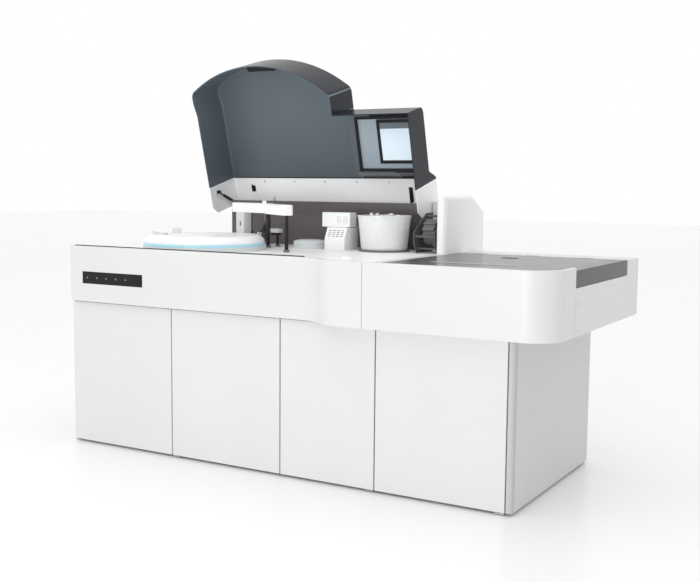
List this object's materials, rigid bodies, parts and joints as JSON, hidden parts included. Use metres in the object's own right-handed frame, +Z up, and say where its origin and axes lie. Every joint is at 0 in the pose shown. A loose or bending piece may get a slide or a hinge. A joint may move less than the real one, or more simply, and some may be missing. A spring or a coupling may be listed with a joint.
{
  "type": "chemiluminescence immunoassay analyzer",
  "caption": "Floor-standing laboratory immunoassay analyzer: doored cabinet, curved fascia, reagent carousel, pipetting arms, cuvette hopper, sampler wing and a smoked lid standing open.",
  "frame": {"origin": "on the floor, below the middle of the whole machine with its lid open", "axes": "+Z up, -Y towards the operator at the doors, +X along the machine towards the sampler wing"},
  "size_m": [2.316, 1.1514, 1.7819],
  "materials": {
    "white_panel": "satin",
    "light_grey": "satin",
    "frame_steel": "satin",
    "deck_sheet": "satin",
    "smoked_shell": "gloss",
    "white_metal": "satin",
    "hatch_pane": "gloss",
    "dark_trim": "satin",
    "dark_sheet": "satin",
    "shaft_black": "satin",
    "blue_ring": "satin",
    "clear_bin": "gloss",
    "sampler_gloss": "gloss",
    "tank_plastic": "satin",
    "machinery": "satin"
  },
  "bodies": {
    "cabinet": {"back_panel": "dark_sheet", "cabinet_frame": "frame_steel", "cabinet_panels": "white_panel", "carousel_cover": "light_grey", "carousel_ring": "blue_ring", "carousel_tub": "light_grey", "chassis": "deck_sheet", "corner_post": "white_panel", "cuvette_hopper": "clear_bin", "deck_bushings": "machinery", "deck_plate": "deck_sheet", "deck_trim": "white_panel", "dispenser_base": "white_panel", "door_hinges": "frame_steel", "drive_units": "machinery", "fluid_tanks": "tank_plastic", "incubator_cover": "light_grey", "indicator_strip": "dark_trim", "left_fascia": "white_panel", "levelling_feet": "shaft_black", "lid_brackets": "frame_steel", "loader_frame": "dark_sheet", "power_inlet": "dark_trim", "power_unit": "machinery", "pump_head": "white_panel", "rear_covers": "white_panel", "rear_housings": "light_grey", "right_fascia": "white_panel", "sampler_ledge": "white_panel", "sampler_side_cover": "white_panel", "sampler_tray": "machinery", "tower_wall": "white_panel", "waste_bin": "dark_trim"},
    "door_1": {"door_1": "white_panel"},
    "door_2": {"door_2": "white_panel"},
    "door_3": {"door_3": "white_panel"},
    "door_4": {"door_4": "white_panel"},
    "lid": {"lid_shell": "smoked_shell", "lid_frame": "white_metal", "lid_hinge_arms": "frame_steel", "lid_handle": "dark_trim", "hatch_frame": "dark_trim"},
    "hatch": {"loading_hatch": "hatch_pane"},
    "sampler_cover": {"sampler_cover": "sampler_gloss"},
    "carousel": {"carousel_rotor": "light_grey", "reagent_packs": "white_panel"},
    "arm_a_slide": {"arm_a_carriage": "machinery"},
    "arm_a": {"arm_a_shaft": "shaft_black", "arm_a_cover": "white_panel"},
    "arm_b_slide": {"arm_b_carriage": "machinery"},
    "arm_b": {"arm_b_shaft": "shaft_black", "arm_b_cover": "white_panel"},
    "mixer": {"mixer_arm": "shaft_black"},
    "power_button": {"power_button": "dark_trim"},
    "loader_wheel": {"loader_wheel": "machinery"},
    "spring_tube_left": {"spring_tube_left": "shaft_black"},
    "spring_rod_left": {"spring_rod_left": "frame_steel"},
    "spring_tube_right": {"spring_tube_right": "shaft_black"},
    "spring_rod_right": {"spring_rod_right": "frame_steel"}
  },
  "joints": [
    {"name": "door_1_hinge", "type": "hinge", "parent": "cabinet", "child": "door_1", "pos_m": [-1.1465, -0.45725, 0.328], "axis": [0, 0, -1], "range_deg": [0, 100]},
    {"name": "door_2_hinge", "type": "hinge", "parent": "cabinet", "child": "door_2", "pos_m": [-0.5705, -0.45725, 0.328], "axis": [0, 0, -1], "range_deg": [0, 100]},
    {"name": "door_3_hinge", "type": "hinge", "parent": "cabinet", "child": "door_3", "pos_m": [0.4055, -0.45725, 0.328], "axis": [0, 0, 1], "range_deg": [0, 100]},
    {"name": "door_4_hinge", "type": "hinge", "parent": "cabinet", "child": "door_4", "pos_m": [0.9455, -0.45725, 0.328], "axis": [0, 0, 1], "range_deg": [0, 100]},
    {"name": "lid_hinge", "type": "hinge", "parent": "cabinet", "child": "lid", "pos_m": [-0.373, 0.38475, 0.934], "axis": [1, 0, 0], "range_deg": [0, 75]},
    {"name": "hatch_hinge", "type": "hinge", "parent": "lid", "child": "hatch", "pos_m": [0.019, 0.41355, 1.2554], "axis": [-1, 0, 0], "range_deg": [0, 90]},
    {"name": "sampler_cover_hinge", "type": "hinge", "parent": "cabinet", "child": "sampler_cover", "pos_m": [0.782, 0.30175, 0.886], "axis": [-1, 0, 0], "range_deg": [0, 70]},
    {"name": "carousel_spin", "type": "hinge", "parent": "cabinet", "child": "carousel", "pos_m": [-0.666, -0.12225, 0.76], "axis": [0, 0, 1], "continuous": true},
    {"name": "arm_a_lift", "type": "slide", "parent": "cabinet", "child": "arm_a_slide", "axis": [0, 0, 1], "range_m": [-0.05, 0]},
    {"name": "arm_a_swing", "type": "hinge", "parent": "arm_a_slide", "child": "arm_a", "pos_m": [-0.237, -0.09475, 0.742], "axis": [0, 0, 1], "range_deg": [-50, 27.4]},
    {"name": "arm_b_lift", "type": "slide", "parent": "cabinet", "child": "arm_b_slide", "axis": [0, 0, 1], "range_m": [-0.05, 0]},
    {"name": "arm_b_swing", "type": "hinge", "parent": "arm_b_slide", "child": "arm_b", "pos_m": [-0.494, 0.13375, 0.742], "axis": [0, 0, 1], "range_deg": [-45, 0]},
    {"name": "mixer_swing", "type": "hinge", "parent": "cabinet", "child": "mixer", "pos_m": [-0.508, 0.23375, 0.9], "axis": [0, 0, 1], "range_deg": [-60, 60]},
    {"name": "power_button_push", "type": "slide", "parent": "cabinet", "child": "power_button", "axis": [0, 1, 0], "range_m": [0, 0.0025], "stiffness_N_per_m": 800},
    {"name": "loader_spin", "type": "hinge", "parent": "cabinet", "child": "loader_wheel", "pos_m": [0.292, 0.28875, 0.977], "axis": [1, 0, 0], "continuous": true},
    {"name": "spring_left_pivot", "type": "hinge", "parent": "cabinet", "child": "spring_tube_left", "pos_m": [-0.93, 0.56375, 1.052], "axis": [1, 0, 0], "range_deg": [0, 37.17]},
    {"name": "spring_left_travel", "type": "slide", "parent": "spring_tube_left", "child": "spring_rod_left", "axis": [0, -0.9383, 0.3457], "range_m": [0, 0.15864]},
    {"name": "spring_right_pivot", "type": "hinge", "parent": "cabinet", "child": "spring_tube_right", "pos_m": [0.194, 0.56375, 1.052], "axis": [1, 0, 0], "range_deg": [0, 37.17]},
    {"name": "spring_right_travel", "type": "slide", "parent": "spring_tube_right", "child": "spring_rod_right", "axis": [0, -0.9383, 0.3457], "range_m": [0, 0.15864]}
  ],
  "couplings": [
    {"joint": "spring_left_pivot", "follows": "lid_hinge", "ratio": 0.49536},
    {"joint": "spring_left_travel", "follows": "lid_hinge", "m_per_rad": 0.12104},
    {"joint": "spring_right_pivot", "follows": "lid_hinge", "ratio": 0.49536},
    {"joint": "spring_right_travel", "follows": "lid_hinge", "m_per_rad": 0.12104}
  ]
}
